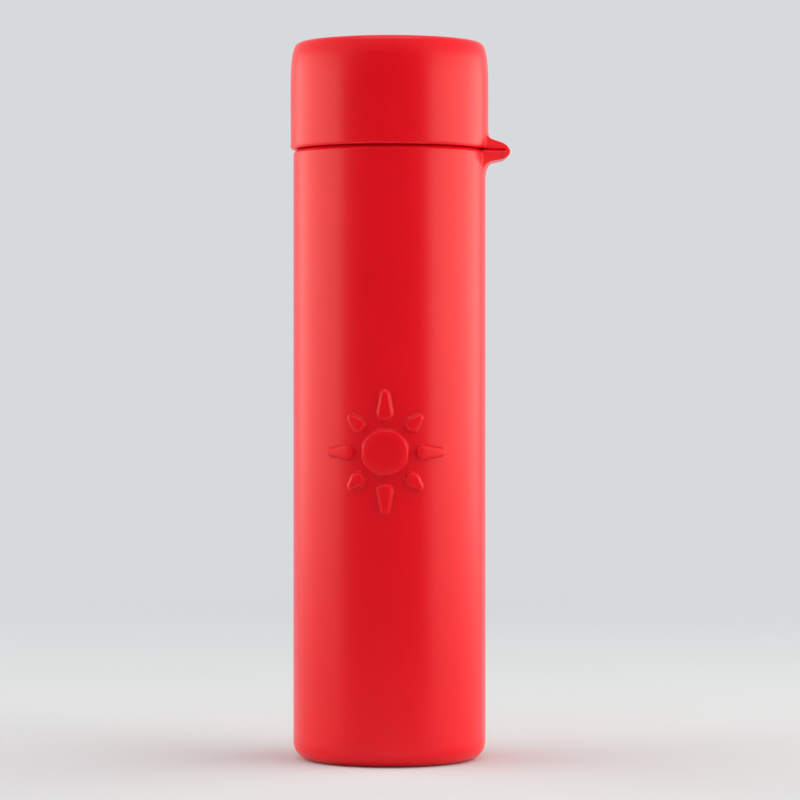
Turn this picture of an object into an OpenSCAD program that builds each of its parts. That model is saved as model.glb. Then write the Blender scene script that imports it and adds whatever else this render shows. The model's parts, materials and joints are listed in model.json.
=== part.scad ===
// Rechargeable hand warmer: a heated aluminium tube in a soft sleeve, with a cap held by a folded strap.
// It stands on the XY plane along +Z, the strap is on the +X side and every length is in millimetres.
// Layers are worked out from the cell outwards, and heights from the base upwards.

/* [Cell] */
// Diameter of the steel can
cell_d = 20.9; // [18:0.1:22]
// Height from the base of the can to the top of the terminal
cell_h = 70.2; // [60:0.2:75]
// Wall of the steel can
can_wall = 0.3; // [0.2:0.05:0.5]
// Height of the terminal above the rim of the can
terminal_proud = 0.6; // [0.4:0.1:1]
// Diameter of the raised part of the terminal
terminal_d = 11; // [8:0.5:12]
// Thickness of the shrink wrap
wrap_t = 0.15; // [0.1:0.05:0.3]
// Thickness of the paper ring over the rim of the can
ring_t = 0.2; // [0.1:0.05:0.4]
// Thickness of the nickel strips
strip_t = 0.15; // [0.1:0.05:0.2]
// Width of the nickel strips
strip_w = 4; // [3:0.5:5]
// Depth of the gasket's seat under the rim of the can
gasket_depth = 2.2; // [1.8:0.1:3]
// Width of the gasket
gasket_w = 2.9; // [2:0.1:3.2]

/* [Heater] */
// Thickness of the insulating wrap between the cell and the heater
barrier_t = 0.35; // [0.2:0.05:1]
// Thickness of the heater film
film_t = 0.25; // [0.15:0.05:0.5]
// Distance from the plug to the lower edge of the heater film
film_start = 3; // [1:0.5:8]
// Distance from the rim of the can to the upper edge of the film and its insulation
film_rise = 7.9; // [6:0.1:8.2]
// Slit along the rolled film, as an angle
film_slit = 8; // [4:1:16]
// Height of the solder tab on the film
tab_h = 2.5; // [2:0.1:3]
// Gap between rolled layers
layer_gap = 0.05; // [0.03:0.01:0.1]

/* [Tube] */
// Wall of the aluminium tube
tube_wall = 0.9; // [0.6:0.1:1.5]
// Height of the tube above the rim of the sleeve
tube_proud = 3; // [2:0.1:3.3]

/* [Base plug] */
// Thickness of the flange under the tube
plug_flange = 1.8; // [1.2:0.1:3]
// Depth of the plug inside the tube
plug_depth = 5; // [4:0.1:8]
// Gap between the plug or the head and the bore of the tube
plug_fit = 0.15; // [0.05:0.05:0.3]
// Thickness of the foam pad under the cell
pad_t = 1; // [0.6:0.1:2]
// Section of the seal rings
seal_d = 0.8; // [0.6:0.05:1]

/* [Sleeve] */
// Wall of the sleeve
sleeve_wall = 2.4; // [1.8:0.1:3.5]
// Floor of the sleeve
sleeve_floor = 2.6; // [1.8:0.1:4]
// Gap between the sleeve and the tube
sleeve_fit = 0.1; // [0.05:0.05:0.3]
// Radius of the outer edge of the base
foot_round = 2.6; // [1:0.1:4]
// Radius of the rounded edges at the parting line
rim_round = 0.45; // [0.2:0.05:0.8]
// Chamfer at the mouth of the sleeve and of the cap
mouth_chamfer = 0.4; // [0.2:0.05:0.8]
// Gap between the sleeve and the cap
parting_gap = 0.3; // [0.2:0.05:0.6]

/* [Cap] */
// Distance that the side of the cap stands out over the sleeve
cap_step = 0.45; // [0:0.05:1.2]
// Gap between the bore of the cap and the tube
cap_fit = 0.5; // [0.4:0.05:0.8]
// Free height over the head
cap_room = 5.2; // [4.8:0.1:8]
// Thickness of the roof
cap_roof = 2.7; // [1.8:0.1:4]
// Radius of the slow curve by which the side leans in towards the top
cap_side_r = 43; // [30:1:90]
// Height of the curved part of the side
cap_lean_h = 6.6; // [4:0.1:9]
// Radius of the top edge
cap_edge_r = 1.3; // [0.8:0.1:3]
// Radius inside the roof
cap_inner_r = 1.5; // [0.5:0.1:3]

/* [Strap] */
// Width of the strap where it leaves the sleeve
strap_w = 8.7; // [5:0.1:12]
// Width of the strap at its folded end
strap_tip_w = 5.9; // [3:0.1:10]
// Reach of the slit from the side of the sleeve
strap_reach = 2.7; // [2.5:0.1:5]
// Thickness of the fold beyond the end of the slit
fold_t = 1.05; // [0.8:0.05:1.6]
// Thickness of the upper leg
upper_leg = 1.5; // [1:0.05:2]
// Thickness of the lower leg
lower_leg = 1.75; // [1.2:0.05:3]
// Radius between the upper leg and the cap
upper_fillet = 0.9; // [0.5:0.1:2]
// Radius between the lower leg and the sleeve
lower_fillet = 1.6; // [0.5:0.1:2.5]

/* [Head] */
// Height of the head above the rim of the sleeve
head_h = 9; // [7.5:0.1:9.5]
// Thickness of the top plate
plate_t = 1.8; // [1.2:0.1:3]
// Length of the skirt inside the tube
skirt_h = 5; // [4:0.1:6]
// Wall of the skirt
skirt_t = 1.25; // [1:0.05:1.6]
// Height above the rim at which the edge round begins
shoulder_h = 6.4; // [5:0.1:6.6]
// Gap that the swinging cap keeps to the shoulder
swing_gap = 0.35; // [0.2:0.05:0.6]
// Radius of the screw bosses
boss_r = 1.8; // [1.5:0.1:2]
// Distance of the screw bosses from the middle, across the board
boss_x = 7.2; // [6.9:0.1:7.4]
// Distance of the screw bosses in front of the board
boss_gap = 3.6; // [3:0.1:4.2]

/* [Board] */
// Height of the board
board_h = 16.5; // [15:0.1:20]
// Thickness of the board
board_t = 1; // [0.8:0.1:1.2]
// Distance of the face that carries the switch behind the axis of the tube
board_back = 0.6; // [0.2:0.1:1]
// Height of the edge slots that hold the board
rail_grip = 0.6; // [0.4:0.1:1]
// Gap round the board in its slots
board_fit = 0.06; // [0.03:0.01:0.15]
// Height at which the board stands over the rim of the cell
board_seat = 3.75; // [3:0.05:6]
// Height of the frame's foot ring
foot_ring_h = 1.8; // [1.2:0.1:2.4]
// Width of the frame's foot ring
foot_ring_w = 2.4; // [1.8:0.1:2.6]
// Thickness of the frame's ears
ear_t = 1.4; // [1:0.1:1.8]
// Diameter of the screws
screw_d = 1.8; // [1.4:0.1:2]
// Reach of the screws into their bosses
screw_reach = 4; // [3:0.5:6]
// Diameter of the screw heads
screw_head_d = 3.2; // [2.6:0.1:3.6]
// Height of the screw heads
screw_head_h = 1.1; // [0.8:0.1:1.4]
// Half width of the frame's side rails
rail_half = 3.2; // [2.4:0.1:3.6]

/* [Leads] */
// Diameter of the insulated leads
wire_d = 1; // [0.8:0.05:1.2]
// Height of the solder pads over the lower edge of the board
pad_h = 2.2; // [1.6:0.1:2.6]
// Distance between the two pads at the front of the board
front_pitch = 8; // [6:0.1:9]
// Distance between the two pads at the rear of the board
rear_pitch = 4.4; // [3:0.1:6]
// Distance between the two pads on the film's tab
tab_pitch = 3.2; // [2.4:0.1:4]

/* [Charging port] */
// Width of the metal shell
port_w = 8.94; // [8:0.02:9.4]
// Height of the metal shell
port_h = 3.16; // [2.8:0.02:3.4]
// Depth of the metal shell
port_depth = 7.35; // [6:0.05:9]
// Wall of the metal shell
port_wall = 0.3; // [0.2:0.05:0.4]
// Depth of its mouth under the face of the head
port_recess = 0.5; // [0.2:0.1:1]
// Gap round the shell where it passes through the head
port_fit = 0.15; // [0.1:0.05:0.3]
// Width of the contact tongue
tongue_w = 6.7; // [5:0.1:7]
// Thickness of the contact tongue
tongue_t = 0.7; // [0.5:0.05:0.9]

/* [Power button] */
// Diameter of the button
button_d = 6; // [5:0.1:6.4]
// Height of the button above the head
button_proud = 0.4; // [0.2:0.1:0.5]
// Travel of the button
button_travel = 0.5; // [0.2:0.05:0.6]
// Gap between the button and the light ring
button_fit = 0.2; // [0.1:0.05:0.3]
// Depth of the dish in the button
button_dish = 0.25; // [0.1:0.05:0.4]
// Width of the face of the light ring
light_w = 0.9; // [0.6:0.1:1]
// Width of the flange of the light ring
light_flange = 0.7; // [0.5:0.1:0.8]
// Thickness of the flanges on the button and the light ring
flange_t = 0.8; // [0.6:0.1:1]
// Distance of the switch's axis in front of the board
switch_axis = 4.4; // [4.2:0.1:5]
// Width of the switch
switch_w = 6; // [5:0.1:6.2]
// Height of the switch
switch_h = 3.5; // [3.2:0.1:3.6]
// Diameter of the plunger
plunger_d = 3.5; // [3:0.1:4]

/* [Hidden] */
$fn = 96;
fine = 8;                 // steps in a small round
play = 0.15;              // gap left for parts that are dropped in
silicone = [0.84, 0.03, 0.1];
dark_abs = [0.13, 0.13, 0.14];
steel = [0.72, 0.73, 0.74];
nickel = [0.8, 0.79, 0.75];
wire_r = wire_d / 2;
wire_sides = 8;
wire_rings = 12;

// Radii, from the cell outwards
can_r = cell_d / 2;
wrap_r = can_r + layer_gap + wrap_t;
strip_r = wrap_r + layer_gap;
barrier_r = strip_r + strip_t + layer_gap;
film_r = barrier_r + barrier_t + layer_gap;
bore_r = film_r + film_t + layer_gap;
tube_r = bore_r + tube_wall;
sleeve_bore_r = tube_r + sleeve_fit;
sleeve_r = sleeve_bore_r + sleeve_wall;
cap_r = sleeve_r + cap_step;
cap_bore_r = tube_r + cap_fit;
plug_r = bore_r - plug_fit;
skirt_r = plug_r - skirt_t;

// Heights, from the base upwards
tube_z = sleeve_floor + plug_flange;
plug_top = tube_z + plug_depth;
cell_z = plug_top + pad_t + strip_t;
can_top = cell_z + cell_h - terminal_proud;
cell_top = cell_z + cell_h;
film_top = can_top + film_rise;
frame_z = can_top + wrap_t + ring_t;
board_z = frame_z + board_seat;
board_top = board_z + board_h;
plate_z = board_top + flange_t + 0.2;
head_top = plate_z + plate_t;
rim_z = head_top - head_h;
tube_top = rim_z + tube_proud;
skirt_z = tube_top - skirt_h;
cap_z = rim_z + parting_gap;
roof_z = head_top + cap_room;
cap_top = roof_z + cap_roof;

// The fold of the strap, about which the cap swings
fold_x = sleeve_r + strap_reach;
fold_z = rim_z + parting_gap / 2;
leg_end = fold_x - 0.3;
strap_root = sleeve_r - sleeve_wall / 2;
strap_span = max(strap_w, strap_tip_w) + 2;   // more than the strap's width anywhere

// Places across the head
board_front = -board_back;
board_rear = board_front - board_t;
board_half = sqrt(pow(skirt_r - 0.4, 2) - pow(board_rear, 2));
port_y = board_rear - port_h / 2;
port_top = head_top - port_recess;
port_z = port_top - port_depth;
button_y = board_front + switch_axis;
boss_y = board_front + boss_gap;
boss_z = skirt_z - 0.1;

// The power button and what lies under it, from the head downwards
button_r = button_d / 2;
light_in = button_r + button_fit;
light_out = light_in + light_w;
button_flange_top = plate_z - flange_t - play;
button_flange_z = button_flange_top - flange_t;
plunger_top = button_flange_z - button_travel - 0.25;
switch_top = plunger_top - button_travel - 0.5;
dome_h = button_travel + 0.1;
plunger_z = switch_top - 1.3;
dome_z = plunger_z - dome_h - 0.1;

// Points along a round, from one angle to the other
function arc(centre, r, from, to, steps = fine) = [
  for (i = [0:steps])
    let (a = from + (to - from) * i / steps)
      centre + r * [cos(a), sin(a)]
];

// Radius that the swinging cap leaves free at a height above the rim
function swing_r(h) = sqrt(pow(fold_x + cap_bore_r - swing_gap, 2) - h * h) - fold_x;

// A point on the smooth curve through four control points
function bezier(p, t) =
  p[0] * pow(1 - t, 3) + 3 * p[1] * t * pow(1 - t, 2) + 3 * p[2] * t * t * (1 - t) + p[3] * t * t * t;

function unit(v) = v / norm(v);

// Ring of points round a wire at t along its curve
function wire_ring(p, r, t) =
  let (
    ahead = bezier(p, min(t + 0.01, 1)),
    behind = bezier(p, max(t - 0.01, 0)),
    along = t == 0 ? unit(p[1] - p[0]) : t == 1 ? unit(p[3] - p[2]) : unit(ahead - behind),
    side = unit(cross(along, [1, 0, 0])),
    up = cross(side, along)
  )
  [for (k = [0:wire_sides - 1])
    bezier(p, t) + r * (side * cos(360 * k / wire_sides) + up * sin(360 * k / wire_sides))];

// An insulated wire along a smooth curve
module wire(p, r = wire_r) {
  points = [for (i = [0:wire_rings]) each wire_ring(p, r, i / wire_rings)];
  walls = [
    for (i = [0:wire_rings - 1], k = [0:wire_sides - 1])
      let (a = i * wire_sides + k, b = i * wire_sides + (k + 1) % wire_sides)
        each [[a, b, b + wire_sides], [a, b + wire_sides, a + wire_sides]]
  ];
  last = wire_rings * wire_sides;
  first_end = [for (k = [1:wire_sides - 2]) [0, k + 1, k]];
  last_end = [for (k = [1:wire_sides - 2]) [last, last + k, last + k + 1]];
  polyhedron(points, concat(walls, first_end, last_end));
}

module disc(r, z, h) {
  translate([0, 0, z])
    cylinder(r = r, h = h);
}

module tube(outer, inner, z, h) {
  difference() {
    disc(outer, z, h);
    disc(inner, z - 1, h + 2);
  }
}

// A ring of round section that lies in a groove against the bore of the tube
module seal_ring(z) {
  color([0.1, 0.1, 0.1])
    rotate_extrude()
      translate([bore_r - layer_gap - seal_d / 2, z])
        circle(d = seal_d);
}

module seal_groove(z) {
  tube(bore_r + 1, bore_r - 2 * layer_gap - seal_d, z - seal_d * 0.65, seal_d * 1.3);
}

// An oblong with round ends, centred on the port
module port_oblong(w, h, z, depth) {
  translate([0, port_y, z])
    linear_extrude(depth) {
      square([w - h, h], center = true);
      for (s = [-1, 1])
        translate([s * (w - h) / 2, 0])
          circle(d = h);
    }
}

// A box that stands on one face of the board, given by its middle, width, height and thickness
module on_board(x, z, w, h, t, front = false) {
  translate([x - w / 2, front ? board_front : board_rear - t, z - h / 2])
    cube([w, t, h]);
}

// Outline of the folded strap beside the parting line, seen from the front
module strap_outline() {
  tip = [fold_x, fold_z - (lower_leg - upper_leg) / 2];
  upper_meet = 62;
  lower_meet = -65;
  polygon(concat(
    [[strap_root, fold_z + upper_leg + upper_fillet]],
    arc([cap_r + upper_fillet, fold_z + upper_leg + upper_fillet], upper_fillet, 180, 270),
    arc(tip, fold_t, upper_meet, lower_meet),
    arc([sleeve_r + lower_fillet, fold_z - lower_leg - lower_fillet], lower_fillet, 90, 180),
    [[strap_root, fold_z - lower_leg - lower_fillet]]
  ));
}

// Outline of the strap seen from above: it narrows towards its fold
module strap_plan() {
  tip_x = fold_x + fold_t;
  polygon([
    [strap_root, -strap_w / 2],
    [sleeve_r, -strap_w / 2],
    [tip_x, -strap_tip_w / 2],
    [tip_x, strap_tip_w / 2],
    [sleeve_r, strap_w / 2],
    [strap_root, strap_w / 2]
  ]);
}

// The part of the strap between two distances from the axis and between two heights
module strap_part(x1, x2, z1, z2) {
  intersection() {
    rotate([90, 0, 0])
      linear_extrude(strap_span, center = true)
        intersection() {
          strap_outline();
          translate([x1, z1])
            square([x2 - x1, z2 - z1]);
        }
    translate([0, 0, z1 - 1])
      linear_extrude(z2 - z1 + 2)
        strap_plan();
  }
}

module sleeve() {
  color(silicone) {
    rotate_extrude()
      polygon(concat(
        [[0, 0]],
        arc([sleeve_r - foot_round, foot_round], foot_round, -90, 0),
        arc([sleeve_r - rim_round, rim_z - rim_round], rim_round, 0, 90),
        [
          [sleeve_bore_r + mouth_chamfer, rim_z],
          [sleeve_bore_r, rim_z - mouth_chamfer],
          [sleeve_bore_r, sleeve_floor],
          [0, sleeve_floor]
        ]
      ));
    strap_part(strap_root, leg_end, rim_z - lower_leg * 3, rim_z);
  }
}

module strap_fold() {
  color(silicone)
    difference() {
      strap_part(leg_end, fold_x + fold_t * 2, fold_z - 9, fold_z + 9);
      translate([leg_end - 1, -strap_span / 2, rim_z])
        cube([fold_x - leg_end + 1, strap_span, parting_gap]);
    }
}

module cap_shell() {
  lean_z = cap_top - cap_lean_h;
  lean = asin((cap_lean_h - cap_edge_r) / (cap_side_r - cap_edge_r));
  edge = [cap_r - cap_side_r + (cap_side_r - cap_edge_r) * cos(lean), cap_top - cap_edge_r];
  color(silicone) {
    rotate_extrude()
      polygon(concat(
        [[cap_bore_r, cap_z + mouth_chamfer], [cap_bore_r + mouth_chamfer, cap_z]],
        arc([cap_r - rim_round, cap_z + rim_round], rim_round, -90, 0),
        arc([cap_r - cap_side_r, lean_z], cap_side_r, 0, lean),
        arc(edge, cap_edge_r, lean, 90),
        [[0, cap_top], [0, roof_z]],
        arc([cap_bore_r - cap_inner_r, roof_z - cap_inner_r], cap_inner_r, 90, 0)
      ));
    strap_part(strap_root, leg_end, cap_z, cap_z + upper_leg * 3);
  }
}

module heat_tube() {
  color([0.75, 0.76, 0.77])
    rotate_extrude()
      polygon([
        [bore_r, tube_z],
        [tube_r, tube_z],
        [tube_r, tube_top - 0.3],
        [tube_r - 0.3, tube_top],
        [bore_r, tube_top]
      ]);
}

module base_plug() {
  lead = 0.6;
  color(dark_abs)
    difference() {
      rotate_extrude()
        polygon([
          [0, sleeve_floor],
          [tube_r, sleeve_floor],
          [tube_r, tube_z],
          [plug_r, tube_z],
          [plug_r, plug_top - lead],
          [plug_r - lead, plug_top],
          [0, plug_top]
        ]);
      seal_groove(tube_z + plug_depth / 2);
    }
}

module base_seal() {
  seal_ring(tube_z + plug_depth / 2);
}

module base_pad() {
  color([0.25, 0.25, 0.27])
    disc(can_r - 0.5, plug_top, pad_t);
}

// A drawn can with a rolled groove under its open rim
module cell_can() {
  groove_z = can_top - 4;
  groove = 0.7;
  shelf = can_r - 1.1;
  color(steel)
    rotate_extrude()
      polygon([
        [0, cell_z],
        [can_r - 0.5, cell_z],
        [can_r, cell_z + 0.5],
        [can_r, groove_z - groove],
        [can_r - groove, groove_z],
        [can_r, groove_z + groove],
        [can_r, can_top],
        [shelf, can_top],
        [shelf, can_top - can_wall],
        [can_r - can_wall, can_top - can_wall],
        [can_r - can_wall, groove_z + groove],
        [can_r - can_wall - groove, groove_z],
        [can_r - can_wall, groove_z - groove],
        [can_r - can_wall, cell_z + can_wall],
        [0, cell_z + can_wall]
      ]);
}

module cell_roll() {
  color([0.45, 0.47, 0.5])
    difference() {
      disc(can_r - can_wall - 2 * layer_gap, cell_z + can_wall, cell_h - terminal_proud - 5.7);
      disc(1.5, cell_z, cell_h);
    }
}

// Seat ring that holds the terminal inside the rim of the can
module cell_gasket() {
  outer = can_r - can_wall - 2 * layer_gap;
  color([0.2, 0.35, 0.6])
    tube(outer, outer - gasket_w, can_top - can_wall - gasket_depth, gasket_depth - 2 * layer_gap);
}

// Lid of the cell: a plate inside the gasket and the raised terminal on it
module cell_terminal() {
  plate_r = can_r - can_wall - gasket_w - 4 * layer_gap;
  under = can_top - can_wall - gasket_depth;
  color(steel) {
    disc(plate_r, under, gasket_depth / 2);
    disc(terminal_d / 2, under, cell_top - under);
  }
}

module cell_wrap() {
  lip = can_r - 1.3;
  color([0.1, 0.45, 0.5]) {
    tube(wrap_r, can_r + layer_gap, cell_z, can_top - cell_z + wrap_t);
    tube(wrap_r, lip, can_top, wrap_t);
  }
}

module cell_ring() {
  color([0.93, 0.92, 0.88])
    tube(wrap_r, terminal_d / 2 + 0.6, can_top + wrap_t, ring_t);
}

// Nickel strip from under the can, up its side and on to the board
module cell_strip() {
  outer = strip_r + strip_t;
  under = cell_z - strip_t;
  top = board_z + 2.4;
  color(nickel)
    intersection() {
      rotate_extrude()
        polygon([[0, under], [outer, under], [outer, top], [strip_r, top], [strip_r, cell_z], [0, cell_z]]);
      translate([-strip_w / 2, -strip_w, under - 1])
        cube([strip_w, outer + 2 * strip_w, top - under + 2]);
    }
}

module terminal_tab() {
  color(nickel)
    translate([-terminal_d / 2 + 0.5, -strip_w / 2, cell_top])
      cube([terminal_d - 1, strip_w, strip_t]);
}

module thermal_fuse() {
  color([0.15, 0.15, 0.16])
    translate([-terminal_d / 2 + 1, -1.6, cell_top + strip_t])
      cube([terminal_d - 2, 3.2, 1]);
}

module heat_barrier() {
  color([0.9, 0.86, 0.7])
    rotate([0, 0, -90 + film_slit / 2])
      rotate_extrude(angle = 360 - film_slit)
        translate([barrier_r, plug_top])
          square([barrier_t, film_top - plug_top]);
}

// Rolled heater film, with the tab for its two leads over the front
module heater_film() {
  tab = 26;
  color([0.72, 0.4, 0.12]) {
    rotate([0, 0, 90 + film_slit / 2])
      rotate_extrude(angle = 360 - film_slit)
        translate([film_r, plug_top + film_start])
          square([film_t, film_top - plug_top - film_start]);
    rotate([0, 0, -90 - tab / 2])
      rotate_extrude(angle = tab)
        translate([film_r, film_top - 1])
          square([film_t, tab_h + 1]);
  }
}

// The two leads from the film's tab to the rear of the board
module heater_leads() {
  color([0.9, 0.88, 0.82])
    for (s = [-1, 1]) {
      start = [s * tab_pitch / 2, wire_r / 2 - film_r, film_top + tab_h / 2];
      finish = [s * rear_pitch / 2, board_rear, board_z + pad_h];
      wire([start, start + [0, 3.6, 0], finish - [0, 3.4, 0], finish]);
    }
}

// The lead from the fuse and the lead from the side strip to the front of the board
module battery_leads() {
  fuse_end = [terminal_d / 2 - 2.1, 1, cell_top + strip_t + 1];
  plus_pad = [front_pitch / 2, board_front, board_z + pad_h];
  color([0.75, 0.1, 0.1])
    wire([fuse_end, fuse_end + [0, 0, 2.7], plus_pad + [0, 3.8, 0], plus_pad]);
  strip_end = [0, strip_r - 0.08, board_z + pad_h - 0.8];
  minus_pad = [-front_pitch / 2, board_front, board_z + pad_h];
  color([0.1, 0.1, 0.1])
    wire([strip_end, strip_end - [0, 3.6, 0], minus_pad + [0, 3.8, 0], minus_pad]);
}

// Bead on the edge of the heater, with two stiff legs to the board
module thermistor() {
  bead_r = 0.85;
  bead = [-7.4, -sqrt(pow(film_r - bead_r, 2) - pow(7.4, 2)), film_top + bead_r + layer_gap];
  color([0.25, 0.2, 0.16])
    translate(bead)
      sphere(r = bead_r);
  color(nickel)
    for (s = [-1, 1])
      translate([bead[0] + s * 0.4, bead[1], bead[2]])
        rotate([-90, 0, 0])
          cylinder(r = 0.2, h = board_rear - bead[1]);
}

// Frame between the cell and the head: a foot ring, two slotted rails and two ears
module board_frame() {
  frame_r = wrap_r;
  top = boss_z;
  color([0.85, 0.85, 0.83])
    difference() {
      union() {
        tube(frame_r, frame_r - foot_ring_w, frame_z, foot_ring_h);
        intersection() {
          disc(frame_r, frame_z, top - frame_z);
          for (s = [-1, 1])
            translate([s * (board_half + 1) - 1 - rail_grip, -rail_half, frame_z])
              cube([2 + 2 * rail_grip, 2 * rail_half, top - frame_z]);
        }
        intersection() {
          disc(frame_r, top - ear_t, ear_t);
          for (s = [-1, 1])
            translate([s * boss_x, boss_y, top - ear_t]) {
              cylinder(r = boss_r + 0.4, h = ear_t);
              translate([s > 0 ? 0 : -frame_r, -boss_r, 0])
                cube([frame_r, 2 * boss_r, ear_t]);
            }
        }
      }
      translate([-board_half - board_fit, board_rear - board_fit, board_z])
        cube([2 * (board_half + board_fit), board_t + 2 * board_fit, board_h]);
      for (s = [-1, 1])
        translate([s * boss_x, boss_y, frame_z])
          cylinder(d = screw_d + 0.4, h = top);
    }
}

module frame_screws() {
  color(steel)
    for (s = [-1, 1])
      translate([s * boss_x, boss_y, boss_z - ear_t]) {
        cylinder(d = screw_d, h = ear_t + screw_reach);
        translate([0, 0, -screw_head_h])
          cylinder(d = screw_head_d, h = screw_head_h);
      }
}

// Moulded head: its shoulder follows the path of the cap's far wall as the cap swings about the fold
module head_shell() {
  steps = 6;
  lean = atan(shoulder_h / (swing_r(shoulder_h) + fold_x));
  edge_r = (head_h - shoulder_h) / (1 - sin(lean));
  edge = [swing_r(shoulder_h) - edge_r * cos(lean), head_top - edge_r];
  side = [
    for (i = [0:steps])
      let (h = tube_proud + (shoulder_h - tube_proud) * i / steps)
        [swing_r(h) - play, rim_z + h]
  ];
  color(dark_abs)
    difference() {
      union() {
        rotate_extrude()
          polygon(concat(
            [[skirt_r, skirt_z], [plug_r - 0.3, skirt_z], [plug_r, skirt_z + 0.3], [plug_r, tube_top]],
            side,
            arc(edge - [play, 0], edge_r, lean, 90),
            [[0, head_top], [0, plate_z], [skirt_r - 0.5, plate_z], [skirt_r, plate_z - 0.5]]
          ));
        intersection() {
          disc(skirt_r + 0.1, boss_z, plate_z - boss_z + 0.1);
          for (s = [-1, 1])
            translate([s * boss_x, boss_y, boss_z]) {
              cylinder(r = boss_r, h = plate_z - boss_z + 0.1);
              translate([s > 0 ? 0 : -skirt_r, -0.5, 0.1])
                cube([skirt_r, 1, plate_z - boss_z]);
            }
        }
      }
      seal_groove(skirt_z + skirt_h / 2);
      port_oblong(port_w + 2 * port_fit, port_h + 2 * port_fit, plate_z - 1, plate_t + 2);
      translate([0, button_y, plate_z - 1])
        cylinder(r = light_out + 0.1, h = plate_t + 2);
      for (s = [-1, 1])
        translate([s * boss_x, boss_y, boss_z - 1])
          cylinder(d = screw_d + 0.1, h = screw_reach + 2);
    }
}

module head_seal() {
  seal_ring(skirt_z + skirt_h / 2);
}

module control_board() {
  color([0.05, 0.3, 0.16])
    translate([-board_half, board_rear, board_z])
      cube([2 * board_half, board_t, board_h]);
}

// Eight-legged control chip on the rear of the board
module control_chip() {
  middle = [-4.8, port_z - 5.6];
  pitch = 1.27;
  color([0.09, 0.09, 0.1])
    translate([middle[0] - 1.9, board_rear - 1.6, middle[1] - 2.5])
      cube([3.8, 1.5, 5]);
  color(nickel)
    for (i = [-1.5:1.5], s = [-1, 1])
      on_board(middle[0] + s * 2.5, middle[1] + i * pitch, 1.3, 0.4, 0.8);
}

module charge_chip() {
  color([0.09, 0.09, 0.1])
    on_board(4.6, port_z - 5.6, 4, 4, 0.9);
}

// Shielded coil on the front of the board, between the screws
module power_coil() {
  middle_z = switch_top - switch_h - 4.1;
  side = 4.8;
  color([0.3, 0.31, 0.33])
    difference() {
      on_board(0, middle_z, side, side, 2.8, front = true);
      for (s = [-1, 1], q = [-1, 1])
        translate([s * side / 2, board_front - 1, middle_z + q * side / 2])
          rotate([0, 45, 0])
            cube([1.2, 9, 1.2], center = true);
    }
}

module capacitors() {
  color([0.7, 0.58, 0.42])
    for (i = [-1:1])
      on_board(i * 2.2, port_z - 1.75, 1.25, 2, 1.1);
}

// Lamps at the top edge of the board, under the light ring
module status_leds() {
  color([0.95, 0.93, 0.8])
    for (i = [-1:1])
      on_board(i * 1.9, board_top - 0.5, 1.5, 0.8, 0.5, front = true);
}

module usb_shell() {
  color(steel) {
    difference() {
      port_oblong(port_w, port_h, port_z, port_depth);
      port_oblong(port_w - 2 * port_wall, port_h - 2 * port_wall, port_z - 1, port_depth + 2);
    }
    for (s = [-1, 1], h = [1, 3.4])
      translate([s * (port_w / 2 - 0.1) - 0.2, port_y, port_z + h])
        cube([0.4, port_h / 2, 1]);
  }
}

// Insulator at the rear of the port and the tongue that carries its contacts
module usb_tongue() {
  gap = port_wall + layer_gap;
  color([0.12, 0.12, 0.13]) {
    port_oblong(port_w - 2 * gap, port_h - 2 * gap, port_z, 1.8);
    translate([-tongue_w / 2, port_y - tongue_t / 2, port_z])
      cube([tongue_w, tongue_t, port_depth - 1]);
  }
}

// Side-mounted switch: its case stands off the board on two brackets and has a well for the plunger
module switch_body() {
  well_r = plunger_d / 2 + play;
  rear = button_y - switch_w / 2;
  color([0.16, 0.16, 0.17])
    difference() {
      translate([-switch_w / 2, rear, switch_top - switch_h])
        cube([switch_w, switch_w, switch_h]);
      translate([0, button_y, dome_z])
        cylinder(r = well_r, h = switch_h);
    }
  color(steel)
    for (s = [-1, 1])
      translate([s * (switch_w / 2 - 0.25) - 0.25, board_front, switch_top - switch_h])
        cube([0.5, rear - board_front + 0.5, switch_h - 0.5]);
}

// Domed spring disc that snaps through when the button is pressed
module contact_dome() {
  dome_t = 0.12;
  half = plunger_d / 2 - 0.1;
  color(nickel)
    translate([0, button_y, dome_z])
      rotate_extrude()
        polygon([
          [half, 0],
          [half, dome_t],
          [half * 0.45, dome_h],
          [0, dome_h],
          [0, dome_h - dome_t],
          [half * 0.4, dome_h - dome_t]
        ]);
}

module switch_plunger() {
  color([0.92, 0.92, 0.9])
    translate([0, button_y, 0])
      rotate_extrude()
        polygon([
          [0, plunger_z],
          [plunger_d / 2, plunger_z],
          [plunger_d / 2, plunger_top - 0.2],
          [plunger_d / 2 - 0.2, plunger_top],
          [0, plunger_top]
        ]);
}

// Button with a shallow dish, a flange that holds it under the light ring and a stem on the plunger
module power_button() {
  top = head_top + button_proud;
  edge = 0.35;
  color([0.2, 0.2, 0.21])
    translate([0, button_y, 0])
      rotate_extrude()
        polygon(concat(
          [
            [0, plunger_top],
            [1.2, plunger_top],
            [1.2, button_flange_z],
            [button_r + light_w / 2, button_flange_z],
            [button_r + light_w / 2, button_flange_top],
            [button_r, button_flange_top]
          ],
          arc([button_r - edge, top - edge], edge, 0, 90),
          [[button_r * 0.6, top - button_dish * 0.7], [button_r * 0.3, top - button_dish * 0.95]],
          [[0, top - button_dish]]
        ));
}

module light_ring() {
  color([0.95, 0.95, 0.92])
    translate([0, button_y, 0])
      rotate_extrude()
        polygon([
          [light_in, plate_z - flange_t],
          [light_out + light_flange, plate_z - flange_t],
          [light_out + light_flange, plate_z],
          [light_out, plate_z],
          [light_out, head_top],
          [light_in, head_top]
        ]);
}

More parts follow.
